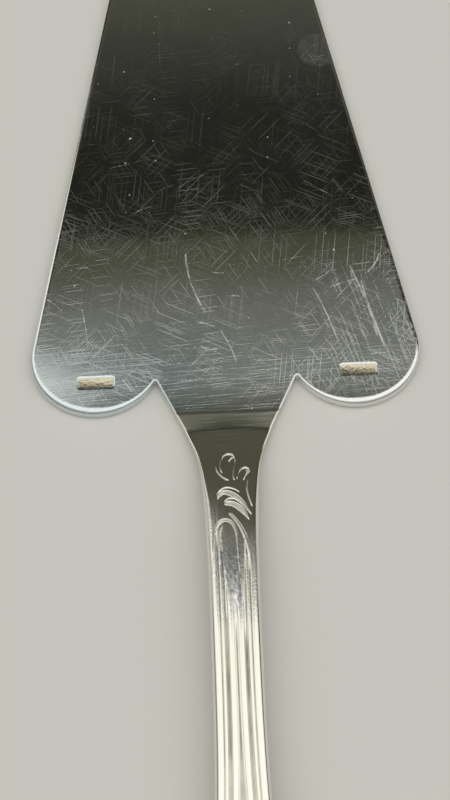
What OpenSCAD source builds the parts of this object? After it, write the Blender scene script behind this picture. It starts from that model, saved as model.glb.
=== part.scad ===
// Cake server: a flat spade blade with two round lobes, soldered to a cranked, die-struck handle.
// The tip points along +Y, +Z is up, and the blade lies on the table at Z = 0.
// Places along the handle are given as q, the distance behind the two notches beside the neck.

/* [Blade] */
// Span over the two lobes, the widest part of the blade
blade_w = 60; // [54:1:70]
// Length of the blade from the back of the lobes to the tip
blade_len = 122; // [100:1:145]
// Thickness of the blade sheet
blade_t = 1.6; // [1.3:0.1:2.2]
// Width that the straight sides reach at the tip line
tip_w = 19; // [15:0.5:22]
// Radius of the bowed front edge of the tip
tip_bow_r = 16; // [13:1:30]
// Radius of the two corners of the tip
tip_corner_r = 5; // [3:0.5:6]
// Radius of the lobes where the sides turn in
lobe_r = 10.1; // [8:0.1:12]
// Rounding of the upper edge of the blade
rim_r = 0.7; // [0.4:0.1:0.9]
// Rounding of the lower edge of the blade
foot_r = 0.3; // [0.1:0.05:0.35]

/* [Neck] */
// Span between the two notches beside the neck
notch_w = 21.7; // [19:0.1:25]
// Depth of the notches, from the back of the lobes
notch_depth = 5.6; // [4.5:0.1:7]
// Radius at the bottom of each notch
notch_r = 0.5; // [0.3:0.1:0.8]
// Angle at which the neck narrows away from the notches
flare_angle = 25; // [20:1:28]
// Distance from the notches to the soldered seam on the top face
seam_q = 6; // [5:0.1:8]
// Length of the slanted seam through the thickness of the sheet
scarf_len = 3; // [2:0.1:4]
// Thickness of the solder film
solder_t = 0.12; // [0.08:0.01:0.3]
// Radius at which the handle starts to climb
bend_r = 30; // [12:1:40]
// Length over which the handle climbs to its full height
climb_len = 34; // [30:1:50]

/* [Handle] */
// Length of the handle behind the notches
handle_len = 133.5; // [115:0.5:150]
// Height of the top of the stem above the table
handle_h = 6.5; // [6:0.5:12]
// Fall of the handle from its highest point to its end
end_drop = 1; // [0:0.25:2]
// Width of the stem at its waist
stem_w = 7.3; // [6:0.1:9]
// Thickness of the stem
stem_t = 4; // [3:0.1:5]
// Distance from the notches to the waist of the stem
waist_q = 40; // [36:1:50]
// Extra half width that the stem's sides gain from the waist up to the notches
stem_swell = 1.6; // [1:0.1:2.5]
// Width of the round end of the handle
end_w = 18.6; // [14:0.2:24]
// Thickness of the handle at its end
end_t = 2.6; // [2:0.1:3.5]
// Rounding of the long edges of the stem
edge_r = 0.9; // [0.6:0.1:1.1]
// Height of the stem's arched top over its edges
crown = 0.6; // [0.2:0.1:0.8]
// Depth of the stem's rounded back
belly = 0.5; // [0:0.1:0.7]

/* [Relief] */
// Depth of the grooves between the reeds
reed_depth = 0.4; // [0.2:0.05:0.5]
// Distance from the notches to the first leaf scroll
relief_q = 13.8; // [12.5:0.1:16]
// Length of the leaf scrolls along the handle
relief_len = 20.4; // [18:0.1:24]
// Height of the leaf scrolls
scroll_h = 0.5; // [0.2:0.05:0.7]
// Half width of the broadest scroll
scroll_w = 0.6; // [0.4:0.05:0.8]

/* [Hidden] */

// Flat length of the handle between the seam and its bend
bend_gap = 0.3;
// Softness of the corner between the flared neck and the stem, and the length over which it sets in
neck_blend = 1.3;
neck_blend_run = 5;
// Length over which the handle's sections turn upright behind the slanted seam
upright_run = 6;
// Length over which the reeds rise below the arch of their panel
reed_fade = 3;
// Length over which the points of the top face gather on the reed lines
reed_gather = 6;

// Facets: along the neck, the scrolls, the stem and the round end, and along each arc
neck_steps = 9;
scroll_steps = 48;
stem_steps = 18;
end_steps = 13;
arc_steps = 10;
lobe_steps = 20;
rim_steps = 4;
foot_steps = 2;
curve_steps = 8;

// Reed lines as shares of the way from the rounded edge inwards to the middle of the stem
border_shares = [0.06, 0.14];
groove_share = 0.21;
thread_shares = [0.25, 0.33, 0.41];
channel_shares = [0.47, 0.54];
reed_shares = [0.60, 0.71, 0.83, 0.93];
middle_share = 0.985;

// Scrolls as Bezier points: x in shares of half the stem, q in shares of relief_len.
// The last pair is the width at the two ends, in shares of scroll_w.
frond_1_shares = [[-0.53, 0.45], [-0.50, 0.35], [0.14, 0.36], [0.80, 0.59], [1.00, 0.50]];
frond_2_shares = [[-0.26, 0.50], [0.00, 0.47], [0.33, 0.51], [0.69, 0.63], [0.95, 0.45]];
frond_3_shares = [[-0.11, 0.58], [0.25, 0.65], [0.61, 0.77], [0.68, 1.00], [0.60, 0.70]];
arch_shares = [[-0.72, 0.77], [-0.67, 0.58], [0.14, 0.58], [0.17, 0.79], [0.60, 0.60]];
petal_1_right_shares = [[0.17, 0.28], [0.00, 0.16], [0.39, 0.10], [0.17, 0.03], [0.50, 0.65]];
petal_1_left_shares = [[0.17, 0.03], [-0.14, -0.02], [-0.58, 0.07], [-0.32, 0.21], [0.65, 0.50]];
petal_2_left_shares = [[0.28, 0.27], [0.31, 0.18], [0.61, 0.13], [0.82, 0.20], [0.50, 0.70]];
petal_2_back_shares = [[0.82, 0.20], [0.69, 0.21], [0.58, 0.25], [0.54, 0.28], [0.70, 0.45]];
stalk_shares = [[0.73, 0.27], [0.58, 0.33], [0.69, 0.42], [0.85, 0.52], [0.55, 0.50]];
scroll_shares = [frond_1_shares, frond_2_shares, frond_3_shares, arch_shares,
    petal_1_right_shares, petal_1_left_shares, petal_2_left_shares, petal_2_back_shares, stalk_shares];

// Small helpers: a soft step, a straight mix, a soft maximum and points on an arc
function ease(v) = let (t = min(1, max(0, v))) t * t * (3 - 2 * t);
function mix(a, b, t) = a + (b - a) * t;
function soft_max(a, b, k) = (a + b + sqrt((a - b) * (a - b) + k * k)) / 2;
function spot(c, r, a) = [c.x + r * cos(a), c.y + r * sin(a)];

// Blade outline, y = 0 at the widest line: sides tangent to the lobes
half_w = blade_w / 2;
tip_y = blade_len - lobe_r;
lobe_c = [half_w - lobe_r, 0];
taper_run = lobe_c.x - tip_w / 2;
taper = atan2(taper_run, tip_y) + asin(lobe_r / norm([taper_run, tip_y]));
side_reach = lobe_c.x * cos(taper) + lobe_r;

// Tip corner tangent to the side and to the bowed front edge
bow_c = [0, tip_y - tip_bow_r];
corner_x0 = (side_reach - tip_corner_r) / cos(taper);
corner_k = tan(taper);
corner_b = corner_x0 * corner_k + bow_c.y;
corner_a = 1 + corner_k * corner_k;
corner_gap = tip_bow_r - tip_corner_r;
corner_d = corner_b * corner_b - corner_a * (corner_x0 * corner_x0 + bow_c.y * bow_c.y - corner_gap * corner_gap);
corner_y = (corner_b + sqrt(corner_d)) / corner_a;
corner_c = [corner_x0 - corner_k * corner_y, corner_y];
bow_end = atan2(corner_c.y - bow_c.y, corner_c.x);

// Back of the lobes, one arc from the lowest point up to the notch
back_run = lobe_c.x - notch_w / 2;
back_r = (back_run * back_run + notch_depth * notch_depth) / (2 * notch_depth);
back_c = [lobe_c.x, back_r - lobe_r];
notch_y = notch_depth - lobe_r;

// Notch rounding, tangent to the back arc and to the flared side of the neck
flare_n = [cos(flare_angle), -sin(flare_angle)];
flare_d = [-sin(flare_angle), -cos(flare_angle)];
notch_base = flare_n * (flare_n * [notch_w / 2, notch_y] + notch_r);
notch_v = back_c - notch_base;
notch_reach = back_r + notch_r;
notch_t = flare_d * notch_v + sqrt(pow(flare_d * notch_v, 2) - notch_v * notch_v + notch_reach * notch_reach);
notch_c = notch_base + flare_d * notch_t;
back_end = atan2(notch_c.y - back_c.y, notch_c.x - back_c.x);
notch_start = atan2(back_c.y - notch_c.y, back_c.x - notch_c.x);
notch_end = 180 - flare_angle;

// The part's origin is under the middle of its length
end_y = notch_y - handle_len;
origin_y = (tip_y + end_y) / 2;

// Edge of the sheet as pairs of inset and height, from the underside to the top face
edge_levels = concat(
    [for (i = [0 : foot_steps]) let (a = 90 * i / foot_steps) [foot_r * (1 - sin(a)), foot_r * (1 - cos(a))]],
    [for (i = [0 : rim_steps]) let (a = 90 * i / rim_steps) [rim_r * (1 - cos(a)), blade_t - rim_r * (1 - sin(a))]]);

// Where the slanted seam cuts the sheet at height z, and the film's thickness along the handle
function seam_at(z) = seam_q - scarf_len * (1 - z / blade_t);
film_q = solder_t * norm([scarf_len, blade_t]) / blade_t;
root_q = seam_q + film_q;

// Half widths: the flared neck, the stem with its waist, and both together
end_r = end_w / 2;
end_q = handle_len - end_r;
function flare_half(q) = notch_w / 2 - q * tan(flare_angle);
function stem_half(q) = q < waist_q
    ? stem_w / 2 + stem_swell * pow((waist_q - q) / waist_q, 2)
    : let (u = (q - waist_q) / (end_q - waist_q)) mix(stem_w / 2, end_r, pow(u, 4) * (5 - 4 * u));
function handle_half(q) = soft_max(flare_half(q), stem_half(q), neck_blend * ease((q - root_q) / neck_blend_run));

// Side profile: a concave bend into a long arch, level at its end
bend_q = root_q + bend_gap;
level_q = bend_q + climb_len;
function climb(q, height) = let (
        a = 2 * atan(height / climb_len),
        arch_r = climb_len / sin(a) - bend_r,
        s = min(climb_len, max(0, q - bend_q)),
        left = climb_len - s)
    s < bend_r * sin(a)
        ? bend_r - sqrt(bend_r * bend_r - s * s)
        : height - arch_r + sqrt(arch_r * arch_r - left * left);
function top_z(q) = blade_t + climb(q, handle_h - blade_t)
    - end_drop * pow(max(0, q - level_q) / (handle_len - level_q), 2);
function back_z(q) = q < level_q
    ? climb(q, handle_h - stem_t)
    : top_z(q) - mix(stem_t, end_t, ease((q - level_q) / (end_q - level_q)));

// How far the flat root has turned into the rounded stem, and its edge roundings, limited by its wall
reed_q = relief_q + relief_len * arch_shares[1].y;
wall_share = 0.45;
function stem_like(q) = ease((q - root_q) / (reed_q - root_q));
function edge_wall(q) = top_z(q) - back_z(q) - (crown + belly) * stem_like(q);
function edge_round(q, r) = mix(r, min(edge_r, wall_share * edge_wall(q)), stem_like(q));

// Reeds: rounded between grooves, by their place on the way from the edge to the middle
reed_run = stem_w / 2 - edge_r;
channel_share = (channel_shares[0] + channel_shares[1]) / 2;
function arch_over(v, a, b) = 1 - pow(abs(2 * (v - a) / (b - a) - 1), 3);
function reed_rise(v) = v <= groove_share ? 1 - pow(max(0, v / groove_share), 3)
    : v <= channel_share ? arch_over(v, groove_share, channel_share)
    : v <= 1 ? arch_over(v, channel_share, 1)
    : 0;
function reeds(q, d) = reed_depth * (reed_rise(d / reed_run) - 1) * ease((q - reed_q) / reed_fade - 1);

// Leaf scrolls: ridges along Bezier curves, tapering from one end to the other.
// The narrowest ridge keeps a least height, and they reach a little past the relief's length.
ridge_least_share = 0.3;
relief_reach_share = 0.1;
reach = relief_len * relief_reach_share;
function bezier(p, t) = p[0] * pow(1 - t, 3) + p[1] * 3 * t * pow(1 - t, 2)
    + p[2] * 3 * t * t * (1 - t) + p[3] * pow(t, 3);
function scroll_line(s) = [for (i = [0 : curve_steps])
    let (t = i / curve_steps, p = bezier(s, t))
    [p.x * stem_w / 2, relief_q + p.y * relief_len, scroll_w * mix(s[4].x, s[4].y, t)]];
scroll_lines = [for (s = scroll_shares) scroll_line(s)];
function ridge(p, a, b) = let (
        ab = [b.x - a.x, b.y - a.y],
        ap = [p.x - a.x, p.y - a.y],
        t = min(1, max(0, ap * ab / (ab * ab))),
        w = norm(ap - ab * t) / mix(a.z, b.z, t))
    w < 1 ? pow(1 - w * w, 2) * min(1, mix(a.z, b.z, t) / scroll_w + ridge_least_share) : 0;
function near_line(p, line) = p.y > relief_q - reach && p.y < relief_q + relief_len + reach
    ? max([for (i = [1 : curve_steps]) ridge(p, line[i - 1], line[i])]) : 0;
function scrolls(p) = scroll_h * max([for (line = scroll_lines) near_line(p, line)]);

// One point of the handle: station st = [q, turn round the end], side s, inset d from the edge,
// and a depth measured from the top face or, where up is false, a height from the back
function lean(q) = scarf_len * (1 - ease((q - root_q) / upright_run));
function station_half(st) = st.y > 0 ? end_r : handle_half(st.x);
function handle_point(st, s, d, depth, up) = let (
        thick = top_z(st.x) - back_z(st.x),
        rel = up ? 1 - depth / thick : depth / thick,
        q0 = st.x - lean(st.x) * (1 - rel),
        w = st.y > 0 ? end_r : handle_half(q0),
        share = 1 - d / station_half(st),
        x = s * w * share * cos(st.y),
        q = q0 + w * share * sin(st.y),
        bow = share * share * stem_like(st.x),
        z = up ? top_z(q) - crown * bow - depth : back_z(q) + belly * bow + depth)
    [x, q, z];
function raised(p, d) = [p.x, p.y, p.z + reeds(p.y, d) + scrolls(p)];

// Insets of the points on the top face, evenly spread over the scrolls and on the reed lines below them
reed_line_shares = concat(border_shares, [groove_share], thread_shares, channel_shares, reed_shares, [middle_share]);
top_steps = len(reed_line_shares);
function top_insets(st, r) = let (w = station_half(st), k = ease((st.x - reed_q) / reed_gather))
    [for (i = [0 : top_steps - 1])
        mix(mix(r, w, (i + 1) / (top_steps + 1)), r + reed_line_shares[i] * reed_run, k)];

// One side of a section, from the back inwards of the edge up and over to the top
back_shares = [0.4, 0.7];
function side(st, s) = let (
        rim = edge_round(st.x, rim_r),
        foot = edge_round(st.x, foot_r),
        w = station_half(st),
        slant = mix(1 / cos(flare_angle), 1, stem_like(st.x)))
    concat(
        [for (b = back_shares) handle_point(st, s, w * (1 - b), 0, false)],
        [for (i = [0 : foot_steps]) let (a = 90 * i / foot_steps)
            handle_point(st, s, slant * foot * (1 - sin(a)), foot * (1 - cos(a)), false)],
        [for (i = [0 : rim_steps]) let (a = 90 * i / rim_steps)
            handle_point(st, s, slant * rim * (1 - cos(a)), rim * (1 - sin(a)), true)],
        [for (d = top_insets(st, slant * rim)) raised(handle_point(st, s, d, 0, true), d - rim)]);
side_n = len(back_shares) + foot_steps + 1 + rim_steps + 1 + top_steps;
section_n = 2 * side_n + 2;
function reversed(v) = [for (i = [len(v) - 1 : -1 : 0]) v[i]];
function section(st) = let (w = station_half(st)) concat(
    [handle_point(st, 1, w, 0, false)],
    side(st, 1),
    [raised(handle_point(st, 1, w, 0, true), w - edge_round(st.x, rim_r))],
    reversed(side(st, -1)));

// Stations along the handle, then round its end
relief_end_q = relief_q + relief_len;
stations = concat(
    [for (i = [0 : neck_steps - 1]) [mix(root_q, relief_q, i / neck_steps), 0]],
    [for (i = [0 : scroll_steps - 1]) [mix(relief_q, relief_end_q, i / scroll_steps), 0]],
    [for (i = [0 : stem_steps]) [mix(relief_end_q, end_q, i / stem_steps), 0]],
    [for (i = [1 : end_steps]) [end_q, 90 * i / (end_steps + 0.5)]]);
first_end = neck_steps + scroll_steps + stem_steps;

// Index of a section's point: the middle points are shared by all sections round the end
function at(i, j) = let (c = j % section_n) (c == 0 || c == side_n + 1) && i > first_end
    ? first_end * section_n + c : i * section_n + c;
function whole(faces) = [for (f = faces) if (f[0] != f[1] && f[1] != f[2] && f[0] != f[2]) f];
function across(i) = concat(
    [for (j = [0 : side_n]) [at(i, j), at(i, j + 1), at(i, section_n - 1 - j)]],
    [for (j = [0 : side_n]) [at(i, j), at(i, section_n - 1 - j), at(i, section_n - j)]]);
function flipped(faces) = [for (f = faces) reversed(f)];
root_corner = len(back_shares) + foot_steps + 1;
root_face = [for (j = [0 : section_n - 1]) (j + root_corner) % section_n];

// From q to the part's own frame
function placed(points) = [for (p = points) [p.x, notch_y - p.y - origin_y, p.z]];

// Blade sheet: its outline repeated at each level of the rounded edge
function half_outline(inset, z) = concat(
    [for (i = [0 : arc_steps]) spot(bow_c, tip_bow_r - inset, mix(90, bow_end, i / arc_steps))],
    [for (i = [1 : arc_steps]) spot(corner_c, tip_corner_r - inset, mix(bow_end, taper, i / arc_steps))],
    [for (i = [0 : lobe_steps]) spot(lobe_c, lobe_r - inset, mix(taper, -90, i / lobe_steps))],
    [for (i = [1 : arc_steps]) spot(back_c, back_r - inset, mix(-90, back_end, i / arc_steps))],
    [for (i = [1 : arc_steps]) spot(notch_c, notch_r + inset, mix(notch_start, notch_end, i / arc_steps))],
    [[flare_half(seam_at(z)) - inset / cos(flare_angle), notch_y - seam_at(z)]]);
function outline(inset, z) = let (h = half_outline(inset, z))
    concat(h, [for (i = [len(h) - 1 : -1 : 1]) [-h[i].x, h[i].y]]);

// Closed skin over rings of points: bottom ring first
function ring_skin(n, rings) = concat(
    [[0, for (j = [n - 1 : -1 : 1]) j]],
    [for (i = [0 : rings - 2], j = [0 : n - 1]) [i * n + j, (i + 1) * n + (j + 1) % n, (i + 1) * n + j]],
    [for (i = [0 : rings - 2], j = [0 : n - 1]) [i * n + j, i * n + (j + 1) % n, (i + 1) * n + (j + 1) % n]],
    [[for (j = [0 : n - 1]) (rings - 1) * n + j]]);

module blade() {
    rings = [for (e = edge_levels) [for (p = outline(e.x, e.y)) [p.x, p.y - origin_y, e.y]]];
    color("gainsboro")
        polyhedron(points = [for (r = rings) each r], faces = ring_skin(len(rings[0]), len(rings)), convexity = 4);
}

// Film of solder that fills the slanted seam from edge to edge
module solder_seam() {
    right = [for (e = edge_levels) [flare_half(seam_at(e.y)) - e.x / cos(flare_angle), seam_at(e.y), e.y]];
    left = [for (p = reversed(right)) [-p.x, p.y, p.z]];
    face = concat(right, left);
    back = [for (p = face) [sign(p.x) * (abs(p.x) - film_q * tan(flare_angle)), p.y + film_q, p.z]];
    color("lightgray")
        polyhedron(points = placed(concat(back, face)), faces = ring_skin(len(face), 2), convexity = 2);
}

// Struck handle: sections lofted from the seam to the round end
module handle() {
    points = [for (st = stations) each section(st)];
    skin = [for (i = [0 : len(stations) - 2], j = [0 : section_n - 1]) each [
        [at(i, j), at(i + 1, j + 1), at(i, j + 1)],
        [at(i, j), at(i + 1, j), at(i + 1, j + 1)]]];
    color("whitesmoke")
        polyhedron(points = placed(points),
            faces = concat([root_face], whole(concat(skin, flipped(across(len(stations) - 1))))), convexity = 6);
}

blade();
solder_seam();
handle();
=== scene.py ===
import math

import bmesh
import bpy
import numpy as np
from mathutils import Matrix, Vector


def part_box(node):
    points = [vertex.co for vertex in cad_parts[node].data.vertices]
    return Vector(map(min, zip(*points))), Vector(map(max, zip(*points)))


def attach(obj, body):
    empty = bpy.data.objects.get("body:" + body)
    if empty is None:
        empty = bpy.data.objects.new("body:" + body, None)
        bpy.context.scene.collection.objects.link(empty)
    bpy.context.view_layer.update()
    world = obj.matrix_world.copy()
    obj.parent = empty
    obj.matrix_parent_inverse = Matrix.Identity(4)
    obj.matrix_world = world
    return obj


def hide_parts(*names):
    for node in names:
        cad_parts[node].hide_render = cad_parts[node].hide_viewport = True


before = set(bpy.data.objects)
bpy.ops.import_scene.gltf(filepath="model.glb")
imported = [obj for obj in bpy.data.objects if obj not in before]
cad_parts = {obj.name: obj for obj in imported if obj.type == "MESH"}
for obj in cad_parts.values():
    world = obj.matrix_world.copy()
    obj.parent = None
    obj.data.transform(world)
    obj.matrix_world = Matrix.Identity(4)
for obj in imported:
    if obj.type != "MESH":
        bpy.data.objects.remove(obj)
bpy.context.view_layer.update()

# Blade: the flat spade that slides under the slice. It is cut from rolled nickel-silver sheet,
# its upper rim is rounded over and polished, and it is silver plated together with the handle.
# Each lobe carries a shallow blank cartouche, struck with a plain punch.
MM = 0.001
blade_high = np.array(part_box("blade")[1]) / MM
BLADE_LEN = 122.0
LOBE_R = 10.1
TIP_W = 19.0
TIP_BOW_R = 16.0
TIP_CORNER_R = 5.0
RIM_R = 0.7
FOOT_R = 0.3
NOTCH_W = 21.7
NOTCH_DEPTH = 5.6
NOTCH_R = 0.25
FLARE = math.radians(25.0)
LOBE_RIM_SHARE = 1.25
NOTCH_RIM_SHARE = 0.35
TOP_BORDER = 0.25
# A distance q runs from the line of the notches towards the end of the handle
SEAM_Q = 6.0
SCARF_LEN = 3.0
# Steps of the arcs in the outline, from the tip to the notch, and rings of the rounded edges
ARC_STEPS = (16, 16, 60, 30, 16)
FOOT_RINGS = 6
RIM_RINGS = 13
SHARP_ANGLE = math.radians(40.0)
sheet_t = blade_high[2]
wide_y = blade_high[1] - BLADE_LEN + LOBE_R
notch_y = wide_y - LOBE_R + NOTCH_DEPTH


def arc(centre, radius, start, end, steps):
    """Points on an arc, from one angle to another."""
    turn = np.linspace(start, end, steps + 1)
    return np.stack([centre[0] + radius * np.cos(turn), centre[1] + radius * np.sin(turn)], axis=1)


def seam_q(z):
    """Distance of the slanted seam behind the notches, at a height in the sheet."""
    return SEAM_Q - SCARF_LEN * (1 - z / sheet_t)


def half_outline(inset, z, seam_inset=0.0):
    """Right half of the blade's outline, from the tip round the lobe and the notch to the seam."""
    lobe = np.array([blade_high[0] - LOBE_R, wide_y])
    reach = BLADE_LEN - LOBE_R
    run = lobe[0] - TIP_W / 2
    taper = math.atan2(run, reach) + math.asin(LOBE_R / math.hypot(run, reach))
    bow = np.array([0.0, blade_high[1] - TIP_BOW_R])
    # The tip's corner touches the straight side and the bowed front edge
    start_x = (lobe[0] * math.cos(taper) + LOBE_R - TIP_CORNER_R) / math.cos(taper)
    slope = math.tan(taper)
    up = bow[1] - wide_y
    square = 1 + slope ** 2
    middle = start_x * slope + up
    rest = start_x ** 2 + up ** 2 - (TIP_BOW_R - TIP_CORNER_R) ** 2
    corner_up = (middle + math.sqrt(middle ** 2 - square * rest)) / square
    corner = np.array([start_x - slope * corner_up, wide_y + corner_up])
    bow_end = math.atan2(corner[1] - bow[1], corner[0])
    # The back of the lobe is one arc, from its lowest point up to the notch
    back_run = lobe[0] - NOTCH_W / 2
    back_r = (back_run ** 2 + NOTCH_DEPTH ** 2) / (2 * NOTCH_DEPTH)
    back = np.array([lobe[0], wide_y - LOBE_R + back_r])
    # The notch is rounded between that arc and the flared side of the neck
    side_n = np.array([math.cos(FLARE), -math.sin(FLARE)])
    side_d = np.array([-math.sin(FLARE), -math.cos(FLARE)])
    base = side_n * (side_n @ np.array([NOTCH_W / 2, notch_y]) + NOTCH_R)
    gap = back - base
    along = side_d @ gap + math.sqrt((side_d @ gap) ** 2 - gap @ gap + (back_r + NOTCH_R) ** 2)
    notch = base + side_d * along
    back_end = math.atan2(notch[1] - back[1], notch[0] - back[0])
    notch_start = math.atan2(back[1] - notch[1], back[0] - notch[0])
    seam = seam_q(z) - seam_inset
    seam_x = NOTCH_W / 2 - seam * math.tan(FLARE) - inset / math.cos(FLARE)
    return np.concatenate([
        arc(bow, TIP_BOW_R - inset, math.pi / 2, bow_end, ARC_STEPS[0]),
        arc(corner, TIP_CORNER_R - inset, bow_end, taper, ARC_STEPS[1])[1:],
        arc(lobe, LOBE_R - inset, taper, -math.pi / 2, ARC_STEPS[2]),
        arc(back, back_r - inset, -math.pi / 2, back_end, ARC_STEPS[3])[1:],
        arc(notch, NOTCH_R + inset, notch_start, math.pi - FLARE, ARC_STEPS[4])[1:],
        [[seam_x, notch_y - seam]]])


def whole_outline(half):
    """Both halves of an outline that starts on the middle line."""
    return np.concatenate([half, (half * [-1, 1])[:0:-1]])


def ring_of(mesh, points, heights):
    """A closed ring of vertices at one height or at a height for each, in millimetres."""
    levels = np.broadcast_to(heights, len(points))
    return [mesh.verts.new((x * MM, y * MM, z * MM)) for (x, y), z in zip(points, levels)]


def join_rings(mesh, low, high):
    """A band of faces between two rings with as many points."""
    count = len(low)
    for i in range(count):
        j = (i + 1) % count
        mesh.faces.new((low[i], high[i], high[j], low[j]))


def edges_of(mesh, ring):
    """The edges round a closed ring."""
    return [mesh.edges.get((a, b)) for a, b in zip(ring, ring[1:] + ring[:1])]


def placed(name, data):
    """A new object in the scene."""
    item = bpy.data.objects.new(name, data)
    bpy.context.scene.collection.objects.link(item)
    return item


# The rim is rounded most under the lobes, and least in the notches, where a buffing wheel doesn't reach
rim_shares = np.concatenate([
    np.ones(ARC_STEPS[0] + ARC_STEPS[1] + 1), np.linspace(1, LOBE_RIM_SHARE, ARC_STEPS[2] + 1),
    np.linspace(LOBE_RIM_SHARE, NOTCH_RIM_SHARE, ARC_STEPS[3] + 1)[1:],
    np.full(ARC_STEPS[4] + 1, NOTCH_RIM_SHARE)])


def rim_ring(mesh, turn, border=0.0):
    """A ring on the rounded rim at one turn of its rounding, or inside it by a border."""
    heights = sheet_t - RIM_R * rim_shares * (1 - math.sin(turn))
    inset = RIM_R * rim_shares * (1 - math.cos(turn)) + border
    wall = half_outline(0.0, heights[-1], border)
    inside = half_outline(RIM_R, heights[-1], border)
    half = wall + (inside - wall) * inset[:, None] / RIM_R
    return ring_of(mesh, whole_outline(half), np.concatenate([heights, heights[:0:-1]]))


shell = bmesh.new()
struck_layer = shell.verts.layers.float.new("struck")
rings = []
for turn in np.linspace(0, math.pi / 2, FOOT_RINGS):
    low_z = FOOT_R * (1 - math.cos(turn))
    half = half_outline(FOOT_R * (1 - math.sin(turn)), low_z)
    rings.append(ring_of(shell, whole_outline(half), low_z))
for turn in np.linspace(0, math.pi / 2, RIM_RINGS):
    rings.append(rim_ring(shell, turn))
rings.append(rim_ring(shell, math.pi / 2, TOP_BORDER))
for low, high in zip(rings, rings[1:]):
    join_rings(shell, low, high)
shell.faces.new(rings[0])

# Blank cartouches, one on each lobe, sunk with a soft edge
CARTOUCHE_SIZE = (5.6, 2.0)
CARTOUCHE_R = 0.45
CARTOUCHE_DEPTH = 0.16
CARTOUCHE_WALL = 0.22
CARTOUCHE_PLACES = ((-19.9, 8.3), (20.3, 8.9))
CORNER_STEPS = 8
WALL_RINGS = 6
STRUCK_FROM_RING = 4


def cartouche_outline(place, inset):
    """A round-cornered oblong about a place on the blade."""
    radius = CARTOUCHE_R - inset
    half_x = CARTOUCHE_SIZE[0] / 2 - CARTOUCHE_R
    half_y = CARTOUCHE_SIZE[1] / 2 - CARTOUCHE_R
    signs = ((1, 1), (-1, 1), (-1, -1), (1, -1))
    corners = [(place[0] + sx * half_x, place[1] + sy * half_y) for sx, sy in signs]
    quarter = math.pi / 2
    arcs = [arc(c, radius, i * quarter, (i + 1) * quarter, CORNER_STEPS) for i, c in enumerate(corners)]
    return np.concatenate(arcs)


fill_edges = edges_of(shell, rings[-1])
struck_verts = []
for place in CARTOUCHE_PLACES:
    wall = [ring_of(shell, cartouche_outline(place, -TOP_BORDER), sheet_t)]
    for t in np.linspace(0, 1, WALL_RINGS):
        sink = CARTOUCHE_DEPTH * (3 * t ** 2 - 2 * t ** 3)
        wall.append(ring_of(shell, cartouche_outline(place, CARTOUCHE_WALL * t), sheet_t - sink))
    for outer, inner in zip(wall, wall[1:]):
        join_rings(shell, outer, inner)
    shell.faces.new(wall[-1])
    struck_verts += [v for ring in wall[STRUCK_FROM_RING:] for v in ring]
    fill_edges += edges_of(shell, wall[0])
bmesh.ops.triangle_fill(shell, use_beauty=True, use_dissolve=False, edges=fill_edges, normal=(0, 0, 1))
bmesh.ops.recalc_face_normals(shell, faces=shell.faces)
for vert in struck_verts:
    vert[struck_layer] = 1.0
blade_mesh = bpy.data.meshes.new("blade_sheet")
shell.to_mesh(blade_mesh)
shell.free()
blade_mesh.shade_smooth()
blade_mesh.set_sharp_from_angle(angle=SHARP_ANGLE)
blade = placed("blade_sheet", blade_mesh)


def linear(code):
    """A colour written as sRGB hex, as linear red, green, blue and alpha."""
    parts = [int(code[i:i + 2], 16) / 255 for i in (1, 3, 5)]
    return [c / 12.92 if c <= 0.04045 else ((c + 0.055) / 1.055) ** 2.4 for c in parts] + [1.0]


def add(tree, kind, inputs=(), **settings):
    """Adds a node with its settings, and sets or links its inputs, by number or by name."""
    node = tree.nodes.new(kind)
    for name, value in settings.items():
        setattr(node, name, value)
    pairs = inputs.items() if isinstance(inputs, dict) else enumerate(inputs)
    for key, value in pairs:
        if isinstance(value, bpy.types.Node):
            value = value.outputs[0]
        if isinstance(value, bpy.types.NodeSocket):
            tree.links.new(value, node.inputs[key])
        else:
            node.inputs[key].default_value = value
    return node


def metal(name):
    """A new metal material: its tree and its place on the piece in millimetres."""
    material = bpy.data.materials.new(name)
    material.use_nodes = True
    tree = material.node_tree
    tree.nodes.clear()
    here = add(tree, "ShaderNodeTexCoord").outputs["Object"]
    place = add(tree, "ShaderNodeVectorMath", {0: here, "Scale": 1 / MM}, operation="SCALE")
    return material, tree, place


def filmed(tree, tint, films):
    """A colour with several films of other colours over it."""
    for film, code in films:
        mixed = add(tree, "ShaderNodeMix", {"Factor": film, "A": tint, "B": linear(code)}, data_type="RGBA")
        tint = mixed.outputs["Result"]
    return tint


def raised(tree, ground, layers):
    """A roughness or a height with a share of each layer added."""
    for layer, share in layers:
        ground = add(tree, "ShaderNodeMath", (layer, share, ground), operation="MULTIPLY_ADD")
    return ground


def coat(tree, tint, rough, height):
    """The surface of a metal, from its colour, its roughness and its relief in millimetres."""
    bump = add(tree, "ShaderNodeBump", {"Height": height, "Distance": MM})
    shader = add(tree, "ShaderNodeBsdfPrincipled", {
        "Metallic": 1.0, "Base Color": tint, "Roughness": rough, "Normal": bump})
    add(tree, "ShaderNodeOutputMaterial", (shader,))


# A span of values with a soft start and end
SOFT = {"interpolation_type": "SMOOTHSTEP"}


def blotches(tree, place, per_mm, detail, span, dimensions="2D", rough=0.5):
    """Soft blotches, so many to the millimetre: noise, from one of its levels to another."""
    noise = add(tree, "ShaderNodeTexNoise", {
        "Vector": place, "Scale": per_mm, "Detail": detail, "Roughness": rough}, noise_dimensions=dimensions)
    return add(tree, "ShaderNodeMapRange", (noise, *span), **SOFT)


# Each seed lays a pattern in a place of its own. Brushed lines start at one level of the noise
# and are full at the other.
SEED_SHIFT = (31.7, 12.9)
BRUSH_COVER = (0.53, 0.77)


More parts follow.
